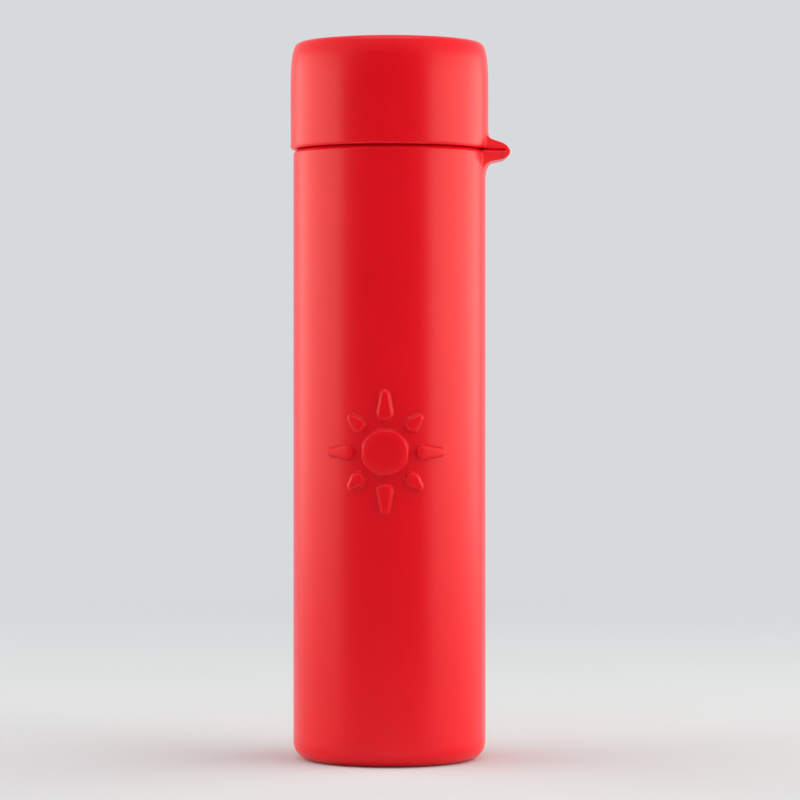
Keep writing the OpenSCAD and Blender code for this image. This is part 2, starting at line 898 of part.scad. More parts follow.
sleeve();
strap_fold();
cap_shell();
heat_tube();
base_plug();
base_seal();
base_pad();
cell_can();
cell_roll();
cell_gasket();
cell_terminal();
cell_wrap();
cell_ring();
cell_strip();
terminal_tab();
thermal_fuse();
heat_barrier();
heater_film();
heater_leads();
battery_leads();
thermistor();
board_frame();
frame_screws();
head_shell();
head_seal();
control_board();
control_chip();
charge_chip();
power_coil();
capacitors();
status_leds();
usb_shell();
usb_tongue();
switch_body();
contact_dome();
switch_plunger();
power_button();
light_ring();
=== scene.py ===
import json
import math
import bmesh
import bpy
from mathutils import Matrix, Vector


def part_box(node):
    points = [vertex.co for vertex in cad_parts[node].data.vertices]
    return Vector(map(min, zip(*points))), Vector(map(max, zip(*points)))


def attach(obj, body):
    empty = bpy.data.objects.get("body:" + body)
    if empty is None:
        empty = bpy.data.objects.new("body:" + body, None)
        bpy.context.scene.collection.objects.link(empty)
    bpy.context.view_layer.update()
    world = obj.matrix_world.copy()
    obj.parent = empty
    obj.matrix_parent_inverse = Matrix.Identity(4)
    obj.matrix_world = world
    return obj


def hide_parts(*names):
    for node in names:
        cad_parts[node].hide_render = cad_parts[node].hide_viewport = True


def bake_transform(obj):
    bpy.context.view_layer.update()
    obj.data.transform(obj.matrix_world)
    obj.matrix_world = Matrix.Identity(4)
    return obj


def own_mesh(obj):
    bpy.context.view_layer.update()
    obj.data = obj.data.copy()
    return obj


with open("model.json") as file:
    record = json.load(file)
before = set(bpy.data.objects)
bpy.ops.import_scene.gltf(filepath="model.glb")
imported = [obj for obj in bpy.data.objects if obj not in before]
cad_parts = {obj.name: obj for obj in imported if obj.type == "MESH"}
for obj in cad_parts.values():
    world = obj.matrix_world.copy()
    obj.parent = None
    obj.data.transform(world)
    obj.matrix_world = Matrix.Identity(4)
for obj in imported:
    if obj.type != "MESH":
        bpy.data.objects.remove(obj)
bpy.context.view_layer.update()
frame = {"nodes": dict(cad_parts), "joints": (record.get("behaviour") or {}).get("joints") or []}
print("frame loaded")

mm = 0.001
joints = {joint["name"]: joint for joint in frame["joints"]}
foldX, foldZ = (joints["cap_swing"]["pos_m"][i] / mm for i in (0, 2))


def lowZ(node):
    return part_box(node)[0].z / mm


def highZ(node):
    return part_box(node)[1].z / mm


def linear(hexColour):  # sRGB hex to the linear values that shaders take
    parts = [int(hexColour[i:i + 2], 16) / 255 for i in (1, 3, 5)]
    return [p / 12.92 if p <= 0.04045 else ((p + 0.055) / 1.055) ** 2.4 for p in parts] + [1]


def addNode(tree, kind, settings=None, links=None):
    node = tree.nodes.new(kind)
    for name, value in (settings or {}).items():
        if name == "stops":
            for i, (position, colour) in enumerate(value):
                stop = node.color_ramp.elements[i] if i < 2 else node.color_ramp.elements.new(position)
                stop.position, stop.color = position, colour
        elif name in node.inputs:
            node.inputs[name].default_value = value
        else:
            setattr(node, name, value)
    for name, socket in (links or {}).items():
        tree.links.new(socket, node.inputs[name])
    return node


# one entry per finish: the slot that it fills, two sRGB colours that it varies between, the size in mm of those
# patches, the lowest and highest roughness, and the size and depth in mm of its surface grain; where it has them,
# also how metallic it is, its sheen, how deep light sinks in (mm, its share, and how far red, green and blue go),
# and a stretch, in which a small number draws the pattern out along that axis
finishes = {
    # silicone rubber, compression moulded in a spark-eroded mould: an even satin skin; light sinks in about 1 mm,
    # so that gaps and folds glow dark red instead of going black; below 0.28 its roughness, which varies, would
    # leave a sandy grain in the render
    "mouldedSilicone": {
        "slot": "silicone", "colours": ("#ef0018", "#f3041c"), "patch": 9, "roughness": (0.28, 0.32),
        "grain": (0.35, 0.003), "ior": 1.4, "depth": 1.2, "depthShare": 0.5, "depthColours": (1, 0.25, 0.15),
    },
    # aluminium, drawn, turned and clear anodised: fine rings round the tube under a hard satin skin
    "anodisedAluminium": {
        "slot": "anodised_aluminium", "colours": ("#c4c7ca", "#d2d4d6"), "patch": 2, "roughness": (0.32, 0.42),
        "grain": (0.4, 0.004), "metallic": 1, "stretch": (0.05, 0.05, 1),
    },
    # ABS, injection moulded in an etched mould: dark, with a fine leathery grain that scatters the light
    "mouldedAbs": {
        "slot": "black_abs", "colours": ("#1d1e20", "#232427"), "patch": 6, "roughness": (0.42, 0.52),
        "grain": (0.3, 0.012), "ior": 1.53,
    },
    # ABS, injection moulded and undyed: milky, smooth from a polished mould
    "naturalAbs": {
        "slot": "frame_abs", "colours": ("#d9d8cf", "#e0dfd7"), "patch": 5, "roughness": (0.36, 0.44),
        "grain": (0.5, 0.003), "ior": 1.53,
    },
    # steel, deep drawn and nickel plated: drawing lines run up the wall
    "platedSteel": {
        "slot": "steel", "colours": ("#b9bbbd", "#c9cacb"), "patch": 3, "roughness": (0.22, 0.34),
        "grain": (0.3, 0.003), "metallic": 1, "stretch": (1, 1, 0.06),
    },
    # nickel strip, rolled: faint rolling lines and a warm grey
    "rolledNickel": {
        "slot": "nickel", "colours": ("#bfb8a8", "#cfc9bb"), "patch": 2, "roughness": (0.28, 0.4),
        "grain": (0.25, 0.003), "metallic": 1, "stretch": (1, 0.1, 0.1),
    },
    # nitrile rubber, moulded ring: black with a dull bloom
    "nitrileRubber": {
        "slot": "seal_rubber", "colours": ("#141415", "#1b1b1c"), "patch": 2, "roughness": (0.6, 0.72),
        "grain": (0.2, 0.006), "ior": 1.52,
    },
    # polyurethane foam, cut from a block: open cells that swallow the light
    "cutFoam": {
        "slot": "foam", "colours": ("#38383b", "#4a4a4e"), "patch": 0.6, "roughness": (0.85, 0.95),
        "grain": (0.6, 0.15), "ior": 1.45,
    },
    # electrode foils, coated and wound: graphite grey with turns that catch the light
    "woundElectrode": {
        "slot": "electrode_roll", "colours": ("#5f646a", "#787d83"), "patch": 0.5, "roughness": (0.5, 0.62),
        "grain": (0.4, 0.02), "metallic": 0.6,
    },
    # polypropylene gasket, injection moulded: blue and slightly waxy
    "gasketPolypropylene": {
        "slot": "gasket_plastic", "colours": ("#385d98", "#4068a4"), "patch": 2, "roughness": (0.34, 0.42),
        "grain": (0.3, 0.004), "ior": 1.49,
    },
    # PVC tube, shrunk on by heat: glossy, with slow waves where it drew in
    "shrinkWrap": {
        "slot": "shrink_wrap", "colours": ("#16767f", "#1a808a"), "patch": 8, "roughness": (0.14, 0.24),
        "grain": (3, 0.03), "ior": 1.54,
    },
    # vulcanised fibre, punched: pale and dry, with loose fibres
    "fishPaper": {
        "slot": "fish_paper", "colours": ("#e9e6db", "#f1efe7"), "patch": 0.8, "roughness": (0.7, 0.82),
        "grain": (0.2, 0.01), "ior": 1.5,
    },
    # aramid felt, needled: straw coloured and fibrous
    "aramidFelt": {
        "slot": "insulation_felt", "colours": ("#d8c88d", "#e8dcae"), "patch": 0.7, "roughness": (0.82, 0.92),
        "grain": (0.3, 0.04), "ior": 1.5, "sheen": 0.2,
    },
    # silicone insulation, extruded over stranded wire: soft satin
    "leadSilicone": {
        "slot": "wire_white", "colours": ("#e2dfd4", "#eae7de"), "patch": 2, "roughness": (0.45, 0.55),
        "grain": (0.3, 0.004), "ior": 1.43,
    },
    "redLeadSilicone": {
        "slot": "wire_red", "colours": ("#b4191d", "#c02227"), "patch": 2, "roughness": (0.45, 0.55),
        "grain": (0.3, 0.004), "ior": 1.43,
    },
    # epoxy, dipped: a dark glossy drop
    "dippedEpoxy": {
        "slot": "epoxy_bead", "colours": ("#3a2f28", "#473a31"), "patch": 0.5, "roughness": (0.12, 0.2),
        "grain": (0.5, 0.004), "ior": 1.55,
    },
    # epoxy moulding compound on chips and switches: black with a sandblasted face
    "chipEpoxy": {
        "slot": "chip_plastic", "colours": ("#1b1b1d", "#262628"), "patch": 0.6, "roughness": (0.5, 0.62),
        "grain": (0.15, 0.006), "ior": 1.55,
    },
    # ferrite, pressed and sintered: matt slate with tiny pits
    "sinteredFerrite": {
        "slot": "ferrite", "colours": ("#4a4b4f", "#57585c"), "patch": 0.6, "roughness": (0.62, 0.74),
        "grain": (0.2, 0.015), "metallic": 0.2,
    },
    # barium titanate, fired: tan and glassy
    "firedCeramic": {
        "slot": "ceramic", "colours": ("#b08d66", "#bf9d76"), "patch": 0.5, "roughness": (0.28, 0.38),
        "grain": (0.2, 0.003), "ior": 1.6,
    },
    # lamp resin with phosphor: cloudy yellow
    "lampResin": {
        "slot": "led_resin", "colours": ("#ecdfae", "#f4eac2"), "patch": 0.6, "roughness": (0.16, 0.24),
        "grain": (0.3, 0.003), "ior": 1.53,
    },
    # polycarbonate with a scattering filler, injection moulded: milky, lets light glow through
    "diffusingPolycarbonate": {
        "slot": "diffuser", "colours": ("#e9ebe9", "#f2f3f1"), "patch": 2, "roughness": (0.24, 0.34),
        "grain": (0.3, 0.004), "ior": 1.58,
    },
    # acetal, machined: white and waxy
    "acetal": {
        "slot": "plunger_plastic", "colours": ("#e3e3de", "#ecece8"), "patch": 1, "roughness": (0.3, 0.38),
        "grain": (0.2, 0.003), "ior": 1.48,
    },
}
materials = {}
noiseSpan = (0.3, 0.7)  # where most values of a noise texture lie


def makeFinish(name, finish):
    material = bpy.data.materials.new(name)
    material.use_nodes = True
    tree = material.node_tree
    shader = tree.nodes["Principled BSDF"]
    place = addNode(tree, "ShaderNodeTexCoord").outputs["Object"]
    stretch = addNode(tree, "ShaderNodeMapping", {"Scale": finish.get("stretch", (1, 1, 1))}, {"Vector": place})
    patches = addNode(
        tree, "ShaderNodeTexNoise", {"Scale": 1 / (finish["patch"] * mm), "Detail": 3},
        {"Vector": stretch.outputs["Vector"]},
    )
    colours = [linear(colour) for colour in finish["colours"]]
    colour = addNode(
        tree, "ShaderNodeValToRGB", {"stops": list(zip(noiseSpan, colours))},
        {"Fac": patches.outputs["Fac"]},
    )
    tree.links.new(colour.outputs["Color"], shader.inputs["Base Color"])
    grainSize, grainDepth = finish["grain"]
    grain = addNode(
        tree, "ShaderNodeTexNoise", {"Scale": 1 / (grainSize * mm), "Detail": 2},
        {"Vector": stretch.outputs["Vector"]},
    )
    low, high = finish["roughness"]
    gloss = addNode(
        tree, "ShaderNodeMapRange",
        {"From Min": noiseSpan[0], "From Max": noiseSpan[1], "To Min": low, "To Max": high},
        {"Value": grain.outputs["Fac"]},
    )
    tree.links.new(gloss.outputs["Result"], shader.inputs["Roughness"])
    bump = addNode(tree, "ShaderNodeBump", {"Distance": grainDepth * mm}, {"Height": grain.outputs["Fac"]})
    tree.links.new(bump.outputs["Normal"], shader.inputs["Normal"])
    shader.inputs["Metallic"].default_value = finish.get("metallic", 0)
    if "ior" in finish:
        shader.inputs["IOR"].default_value = finish["ior"]
    if "sheen" in finish:
        shader.inputs["Sheen Weight"].default_value = finish["sheen"]
    if "depth" in finish:
        shader.inputs["Subsurface Weight"].default_value = finish["depthShare"]
        shader.inputs["Subsurface Radius"].default_value = finish["depthColours"]
        shader.inputs["Subsurface Scale"].default_value = finish["depth"] * mm
    materials[name] = material


for name, finish in finishes.items():
    makeFinish(name, finish)

# polyimide film with etched heating tracks: amber and glossy, with dark bands that run round it 2 mm apart;
# the tracks are the part of each wave above trackFrom, and waveLength is that of a wave texture at scale 1
heaterFilm = {
    "film": "#b4631c", "track": "#7a4a26", "pitch": 2.0, "trackFrom": (0.55, 0.62), "trackDepth": 0.03,
    "waveLength": 0.314, "roughness": 0.22, "ior": 1.7,
}


def makeHeaterFilm(values):
    material = bpy.data.materials.new("polyimideFilm")
    material.use_nodes = True
    tree = material.node_tree
    shader = tree.nodes["Principled BSDF"]
    place = addNode(tree, "ShaderNodeTexCoord").outputs["Object"]
    waves = addNode(
        tree, "ShaderNodeTexWave",
        {"wave_type": "BANDS", "bands_direction": "Z", "Scale": values["waveLength"] / (values["pitch"] * mm)},
        {"Vector": place},
    )
    colour = addNode(
        tree, "ShaderNodeValToRGB",
        {"stops": list(zip(values["trackFrom"], (linear(values["film"]), linear(values["track"]))))},
        {"Fac": waves.outputs["Fac"]},
    )
    bump = addNode(
        tree, "ShaderNodeBump", {"Distance": values["trackDepth"] * mm}, {"Height": colour.outputs["Color"]})
    tree.links.new(colour.outputs["Color"], shader.inputs["Base Color"])
    tree.links.new(bump.outputs["Normal"], shader.inputs["Normal"])
    shader.inputs["Roughness"].default_value = values["roughness"]
    shader.inputs["IOR"].default_value = values["ior"]
    materials["polyimideFilm"] = material


makeHeaterFilm(heaterFilm)

# glass and epoxy laminate under green solder mask: paler where copper lies under it, with fine dark dashes
# between, on bricks that are half of brickUnit long (mm) and a quarter of it high
laminate = {
    "mask": "#0d5230", "copper": "#1a6f43", "brickUnit": 1.0, "copperEdge": 0.12, "copperDepth": 0.03,
    "roughness": 0.3, "ior": 1.52,
}


def makeLaminate(values):
    material = bpy.data.materials.new("maskedLaminate")
    material.use_nodes = True
    tree = material.node_tree
    shader = tree.nodes["Principled BSDF"]
    place = addNode(tree, "ShaderNodeTexCoord").outputs["Object"]
    cells = addNode(
        tree, "ShaderNodeTexBrick",
        {"Scale": 1 / (values["brickUnit"] * mm), "Mortar Size": values["copperEdge"],
         "Color1": linear(values["mask"]), "Color2": linear(values["mask"]), "Mortar": linear(values["copper"])},
        {"Vector": place},
    )
    bump = addNode(
        tree, "ShaderNodeBump", {"Distance": values["copperDepth"] * mm}, {"Height": cells.outputs["Fac"]})
    tree.links.new(cells.outputs["Color"], shader.inputs["Base Color"])
    tree.links.new(bump.outputs["Normal"], shader.inputs["Normal"])
    shader.inputs["Roughness"].default_value = values["roughness"]
    shader.inputs["IOR"].default_value = values["ior"]
    materials["maskedLaminate"] = material


makeLaminate(laminate)

# copper alloy, hard gold plated, on the port's contacts: a warm yellow metal with a satin shine
contactGold = {
    "colours": ("#d9b25a", "#e2be6c"), "patch": 1, "roughness": (0.2, 0.28), "grain": (0.2, 0.002), "metallic": 1,
}
makeFinish("goldPlating", contactGold)
print("materials made", len(materials))


# points of an arc in the plane of radius and height, angles in degrees
def arc(centreR, centreZ, radius, start, end, steps):
    angles = [math.radians(start + (end - start) * i / steps) for i in range(steps + 1)]
    return [(centreR + radius * math.cos(a), centreZ + radius * math.sin(a)) for a in angles]


tiny = 1e-6  # a length below this counts as none


# level rounds the mesh off and sharp, in degrees, is where its shading breaks
def addPiece(name, bm, material, body, nodes=(), level=0, sharp=None):
    bmesh.ops.recalc_face_normals(bm, faces=bm.faces)
    mesh = bpy.data.meshes.new(name)
    bm.to_mesh(mesh)
    bm.free()
    piece = bpy.data.objects.new(name, mesh)
    bpy.context.scene.collection.objects.link(piece)
    if level:
        rounding = piece.modifiers.new("rounding", "SUBSURF")
        rounding.levels = rounding.render_levels = level
        rounding.use_limit_surface = False
        graph = bpy.context.evaluated_depsgraph_get()
        piece.data = bpy.data.meshes.new_from_object(piece.evaluated_get(graph))
        piece.modifiers.clear()
        piece.data.name = name
    piece.data.polygons.foreach_set("use_smooth", [True] * len(piece.data.polygons))
    if sharp:
        piece.data.set_sharp_from_angle(angle=math.radians(sharp))
    piece.data.materials.clear()
    piece.data.materials.append(materials[material])
    if nodes:
        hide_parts(*nodes)
    if body:
        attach(piece, body)
    return piece


# faces between two closed loops; a loop may have the same point more than once
def bridge(bm, first, second):
    for i in range(len(first)):
        j = (i + 1) % len(first)
        corners = [first[i], first[j], second[j], second[i]]
        kept = [v for k, v in enumerate(corners) if v not in corners[:k]]
        if len(kept) > 2:
            bm.faces.new(kept)


def ringAt(bm, radius, z, count, centre=(0, 0)):
    if radius < tiny:
        return [bm.verts.new((centre[0] * mm, centre[1] * mm, z * mm))] * count
    turns = [2 * math.pi * i / count for i in range(count)]
    return [
        bm.verts.new(((centre[0] + radius * math.cos(t)) * mm, (centre[1] + radius * math.sin(t)) * mm, z * mm))
        for t in turns
    ]


# turns a profile of (radius, height) about an upright axis
def latheInto(bm, profile, count=128, centre=(0, 0), closed=False):
    rings = [ringAt(bm, r, z, count, centre) for r, z in profile]
    for first, second in zip(rings, rings[1:] + (rings[:1] if closed else [])):
        bridge(bm, first, second)
    return rings


# the strap, in mm: it narrows from its root on the wall to its tip, and its points lie across it at acrossShares
# of its half width; at each side its slit opens by grooveRoot to grooveTip times its height into a soft groove,
# whose end is set back by grooveEnd in the sections past grooveFrom; between the sides it is all but closed;
# besideRows are the columns of the skin beside it, by their distance from its middle, and columns is how many go
# round the rest; each section gives, from the fold and seen from the front, a point of the slit side, one of the
# outer side, and how closely it follows the round wall
strap = {
    "rootWidth": 8.7, "tipWidth": 5.9, "rootX": 15.0, "tipX": 18.75,
    "acrossShares": (-1, -0.9, -0.42, 0, 0.42, 0.9, 1), "grooveRoot": 2.8, "grooveTip": 1.7,
    "grooveFrom": -0.1, "grooveEnd": 0.3, "closed": 0.11, "besideRows": (5.1, 5.9, 7.0), "columns": 82,
    "capSide": [
        ((-1.95, 0.15), (-2.08, 2.14), 0.95), ((-1.55, 0.15), (-1.68, 1.66), 0.75),
        ((-1.05, 0.15), (-1.10, 1.43), 0.4), ((-0.60, 0.15), (-0.48, 1.20), 0.1),
        ((-0.25, 0.15), (0.08, 0.98), 0), ((-0.04, 0.14), (0.58, 0.62), 0),
        ((0.07, 0.08), (0.92, 0.18), 0), ((0.10, 0.0), (1.06, -0.24), 0),
        ((0.07, -0.08), (0.96, -0.68), 0), ((-0.04, -0.14), (0.62, -1.08), 0),
        ((-0.18, -0.15), (0.16, -1.37), 0), ((-0.30, -0.15), (-0.20, -1.50), 0),
    ],
    "sleeveSide": [
        ((-2.40, -0.15), (-2.48, -2.90), 1), ((-2.05, -0.15), (-2.18, -2.32), 0.95),
        ((-1.62, -0.15), (-1.75, -1.95), 0.8), ((-1.15, -0.15), (-1.20, -1.74), 0.5),
        ((-0.75, -0.15), (-0.70, -1.63), 0.2), ((-0.52, -0.15), (-0.44, -1.57), 0.05),
        ((-0.30, -0.15), (-0.20, -1.50), 0),
    ],
}


def strapHalf(x):
    share = (x - strap["rootX"]) / (strap["tipX"] - strap["rootX"])
    return (strap["rootWidth"] + (strap["tipWidth"] - strap["rootWidth"]) * share) / 2


# how far a point beside the strap's middle falls back where it follows a round wall
def wallDrop(y, wallRadius):
    return math.sqrt(wallRadius ** 2 - y ** 2) - wallRadius


# how far the slit opens, in times its own height, by the place along the strap and the columns from its side
def slitShare(x, column):
    if column:
        return strap["closed"]
    along = (x - strap["rootX"]) / (foldX - strap["rootX"])
    return strap["grooveRoot"] + (strap["grooveTip"] - strap["grooveRoot"]) * min(max(along, 0), 1)


# a silicone skin turned from rows of (radius, height), with the strap drawn out of its side between two rows
def makeSkin(name, rows, strapRows, sections, wallRadius, nodes):
    bm = bmesh.new()
    shares = strap["acrossShares"]
    last = len(shares) - 1
    rootHalf = strapHalf(wallRadius)
    for _ in range(3):  # the width depends on where the wall is at that width; three rounds settle it
        rootHalf = strapHalf(wallRadius + wallDrop(rootHalf, wallRadius))
    angles = [math.asin(share * rootHalf / wallRadius) for share in shares]
    beside = [math.asin(y / wallRadius) for y in strap["besideRows"]]
    rest = 2 * math.pi - 2 * beside[-1]
    angles += beside[:-1] + [beside[-1] + rest * i / strap["columns"] for i in range(strap["columns"] + 1)]
    angles += [-a for a in reversed(beside[:-1])]
    count = len(angles)
    inside = set(strapRows[1:-1])
    rings = []
    for i, (r, z) in enumerate(rows):
        if r == 0:
            rings.append([bm.verts.new((0, 0, z * mm))] * count)
        else:
            rings.append([
                None if i in inside and 0 < c < last
                else bm.verts.new((r * math.cos(a) * mm, r * math.sin(a) * mm, z * mm))
                for c, a in enumerate(angles)
            ])
    first, final = min(strapRows), max(strapRows)
    for i in range(len(rings) - 1):
        for c in range(count):
            if first <= i < final and c < last:  # left open for the strap
                continue
            d = (c + 1) % count
            corners = [rings[i][c], rings[i][d], rings[i + 1][d], rings[i + 1][c]]
            bm.faces.new([v for k, v in enumerate(corners) if v not in corners[:k]])
    levels = len(strapRows) - 1
    edge = [(0, j) for j in range(last + 1)] + [(k, last) for k in range(1, levels + 1)]
    edge += [(levels, j) for j in range(last - 1, -1, -1)] + [(k, 0) for k in range(levels - 1, 0, -1)]
    loop = [rings[strapRows[k]][j] for k, j in edge]
    crease = bm.edges.layers.float.new("crease_edge")

    def pointAt(section, k, j):
        inner, outer, hug = section
        slitX = inner[0]
        if j in (0, last) and slitX > strap["grooveFrom"]:
            slitX += strap["grooveEnd"]
        x = foldX + slitX + (outer[0] - slitX) * k / levels
        y = shares[j] * strapHalf(x + wallDrop(strapHalf(x), wallRadius) * hug)
        slit = inner[1] * slitShare(x, min(j, last - j))
        x += wallDrop(y, wallRadius) * hug
        return bm.verts.new((x * mm, y * mm, (foldZ + slit + (outer[1] - slit) * k / levels) * mm))

    for section in sections:
        ends = section is sections[-1]
        grid = {
            (k, j): pointAt(section, k, j) for k in range(levels + 1) for j in range(last + 1)
            if ends or k in (0, levels) or j in (0, last)
        }
        newLoop = [grid[key] for key in edge]
        bridge(bm, loop, newLoop)
        for j in (1, last - 1):  # the foot of the groove is sharp
            bm.edges.get((loop[j], newLoop[j]))[crease] = 1
        loop = newLoop
    for k in range(levels):
        for j in range(last):
            bm.faces.new([grid[k, j], grid[k, j + 1], grid[k + 1, j + 1], grid[k + 1, j]])
    for a, b in zip(loop, loop[1:] + loop[:1]):
        bm.edges.get((a, b))[crease] = 1
    return addPiece(name, bm, "mouldedSilicone", None, nodes=nodes, level=2, sharp=60)


# the sleeve, with a low bead on its rim that the cap closes on; the rows are the rings of its mesh: radii on the
# base and the floor, heights on the wall and in the bore, and heights from the fold near the strap, which leaves
# the wall at the fourth ring from the last; soft is how close a ring lies to an edge that stays tight
sleeve = {
    "radius": 15, "bore": 12.6, "floor": 2.6, "foot": 2.6, "rim": 0.45, "chamfer": 0.4, "soft": 0.15,
    "bead": 0.27, "beadIn": 13.5, "beadOut": 14.4, "beadFoot": 0.2,
    "baseRows": (0, 4, 9, 11.6), "wallRows": (3.3, 5, 12, 24, 36, 48, 60, 72, 82, 87),
    "foldRows": (-5.4, -3.7, -2.9, -2.1, -1.3), "foldRowsInStrap": 4,
    "boreDown": 3, "boreRows": (60, 30, 6, 3), "floorRows": (11, 5, 0),
}
rimZ = highZ("sleeve")


def sleeveRows(values):
    r, foot, rim, soft = (values[key] for key in ("radius", "foot", "rim", "soft"))
    rows = [(base, 0) for base in values["baseRows"]] + arc(r - foot, foot, foot, -90, 0, steps=6)
    rows += [(r, z) for z in values["wallRows"]]
    rows += [(r, foldZ + z) for z in values["foldRows"]]
    outerRow = len(rows) - values["foldRowsInStrap"]
    rows += arc(r - rim, rimZ - rim, rim, 0, 90, steps=4)
    innerRow = len(rows) - 1
    bore, chamfer, beadFoot = values["bore"], values["chamfer"], values["beadFoot"]
    bead = rimZ + values["bead"]
    rows += [(values["beadOut"] + beadFoot, rimZ), (values["beadOut"], bead), (values["beadIn"], bead)]
    rows += [(values["beadIn"] - beadFoot, rimZ), (bore + chamfer, rimZ), (bore, rimZ - chamfer)]
    rows += [(bore, rimZ - chamfer - soft), (bore, rimZ - values["boreDown"])]
    rows += [(bore, z) for z in values["boreRows"]]
    rows += [(bore, values["floor"] + soft), (bore - soft, values["floor"])]
    rows += [(x, values["floor"]) for x in values["floorRows"]]
    return rows, list(range(innerRow, outerRow - 1, -1))


sleeveProfile, sleeveStrapRows = sleeveRows(sleeve)
sleeveSkin = makeSkin(
    "sleeveSkin", sleeveProfile, sleeveStrapRows, strap["sleeveSide"], sleeve["radius"], ["sleeve"])
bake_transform(sleeveSkin)

# the cap leans in over its last few mm: three arcs run up its side, each given by its radius in mm and the angles
# in degrees that it starts and ends at; its rows are given as the sleeve's are
cap = {
    "radius": 15.45, "bore": 13, "rim": 0.45, "chamfer": 0.4, "soft": 0.15, "roof": 2.7, "inner": 1.5,
    "mouthIn": 0.2, "mouthOut": 14.35, "sideArcs": [(43, 0, 5), (8, 5, 20), (1.1, 20, 90)], "arcSteps": 5,
    "roofRows": (0, 4, 8.5), "cornerOut": 0.5, "cornerDown": 0.6, "boreDown": 6, "boreRows": (3, 1),
    "strapRows": (1.0, 1.5, 2.0, 2.65), "wallRows": (3.6, 5.4), "leanDown": 1.6, "topIn": 0.6,
    "topRows": (10, 5, 0),
}


def capRows(values):
    r, rim, bore, chamfer = values["radius"], values["rim"], values["bore"], values["chamfer"]
    bottom, top = lowZ("cap_shell"), highZ("cap_shell")
    roof, inner = top - values["roof"], values["inner"]
    rows = [(x, roof) for x in values["roofRows"]] + [(bore - inner - values["cornerOut"], roof)]
    rows += arc(bore - inner, roof - inner, inner, 90, 0, steps=4)
    rows += [(bore, roof - inner - values["cornerDown"]), (bore, roof - values["boreDown"])]
    rows += [(bore, bottom + up) for up in values["boreRows"]]
    rows += [(bore, bottom + chamfer + values["soft"]), (bore, bottom + chamfer), (bore + chamfer, bottom)]
    rows += [(bore + chamfer + values["mouthIn"], bottom), (values["mouthOut"], bottom)]
    innerRow = len(rows)
    rows += arc(r - rim, bottom + rim, rim, -90, 0, steps=4)
    rows += [(r, foldZ + z) for z in values["strapRows"]]
    outerRow = len(rows) - 1
    x, z = r, top - sum(
        radius * (math.sin(math.radians(end)) - math.sin(math.radians(start)))
        for radius, start, end in values["sideArcs"]
    )
    rows += [(r, foldZ + up) for up in values["wallRows"]] + [(r, z - values["leanDown"]), (r, z)]
    for radius, start, end in values["sideArcs"]:
        turn = math.radians(start)
        centre = (x - radius * math.cos(turn), z - radius * math.sin(turn))
        points = arc(*centre, radius, start, end, steps=values["arcSteps"])
        rows += points[1:]
        x, z = points[-1]
    rows += [(rows[-1][0] - values["topIn"], top)] + [(x, top) for x in values["topRows"]]
    return rows, list(range(innerRow, outerRow + 1))


capProfile, capStrapRows = capRows(cap)
capSkin = makeSkin(
    "capSkin", capProfile, capStrapRows, strap["capSide"], cap["radius"], ["cap_shell", "strap_fold"])
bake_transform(capSkin)
print("silicone skins made")

# a plain sun, raised on the front of the sleeve: its height and its turn in degrees, its disc, and its rays, which
# are long and short in turn; it starts sunk in the wall, and relief gives how far in and how high its edge runs
motif = {
    "height": 48.0, "turn": -2.6, "disc": 3.5, "rays": 8, "rayStart": 4.8, "reach": (9.4, 7.9),
    "baseWidth": 2.2, "tipWidth": 1.2, "points": 48, "sunk": 0.35, "sunkOut": 0.3, "topShares": (0.55, 0),
    "relief": [(-0.34, -0.03), (-0.16, 0.02), (-0.05, 0.12), (0, 0.28), (0.04, 0.46), (0.12, 0.58), (0.26, 0.65)],
}


# a loop round two circles and the straight lines that join them
def capsuleLoop(centreA, radiusA, centreB, radiusB, count):
    ax, ay = centreA
    bx, by = centreB
    length = math.hypot(bx - ax, by - ay)
    along = math.atan2(by - ay, bx - ax) if length else 0
    slope = math.acos((radiusA - radiusB) / length) if length else math.pi / 2
    half = count // 2
    points = []
    for i in range(half):
        a = along + slope + (2 * math.pi - 2 * slope) * i / (half - 1)
        points.append((ax + radiusA * math.cos(a), ay + radiusA * math.sin(a)))
    for i in range(half):
        a = along - slope + 2 * slope * i / (half - 1)
        points.append((bx + radiusB * math.cos(a), by + radiusB * math.sin(a)))
    return points


def makeMotif(values):
    bm = bmesh.new()
    centre = math.radians(values["turn"])

    def onSleeve(point, height):
        r = sleeve["radius"] + height
        turn = centre + point[0] / sleeve["radius"]
        z = values["height"] + point[1]
        return bm.verts.new((r * math.sin(turn) * mm, -r * math.cos(turn) * mm, z * mm))

    def raiseShape(centreA, radiusA, centreB, radiusB):
        loops = []

        def addLoop(inset, share, height):
            points = capsuleLoop(
                centreA, (radiusA - inset) * share, centreB, (radiusB - inset) * share, values["points"])
            loops.append([onSleeve(point, height) for point in points])

        for share in (0, 1):
            addLoop(-values["sunkOut"], share, -values["sunk"])
        for inset, height in values["relief"]:
            addLoop(inset, 1, height)
        topInset, topHeight = values["relief"][-1]
        for share in values["topShares"]:
            addLoop(topInset, share, topHeight)
        for first, second in zip(loops, loops[1:]):
            bridge(bm, first, second)

    raiseShape((0, 0), values["disc"], (0, 0), values["disc"])
    for i in range(values["rays"]):
        a = 2 * math.pi * i / values["rays"]
        baseR, tipR = values["baseWidth"] / 2, values["tipWidth"] / 2
        base, tip = values["rayStart"] + baseR, values["reach"][i % 2] - tipR
        raiseShape((base * math.cos(a), base * math.sin(a)), baseR, (tip * math.cos(a), tip * math.sin(a)), tipR)
    bmesh.ops.remove_doubles(bm, verts=bm.verts, dist=tiny)
    addPiece("sunMotif", bm, "mouldedSilicone", "root")


makeMotif(motif)
print("motif made")

# the heat tube that shows under the open cap: its upper outer edge is rolled, the other edges are just broken
tube = {"outer": 12.5, "inner": 11.6, "edge": 0.3, "roll": (0.04, 0.1, 0.08, 0.03), "broken": 0.1, "brim": 0.08}


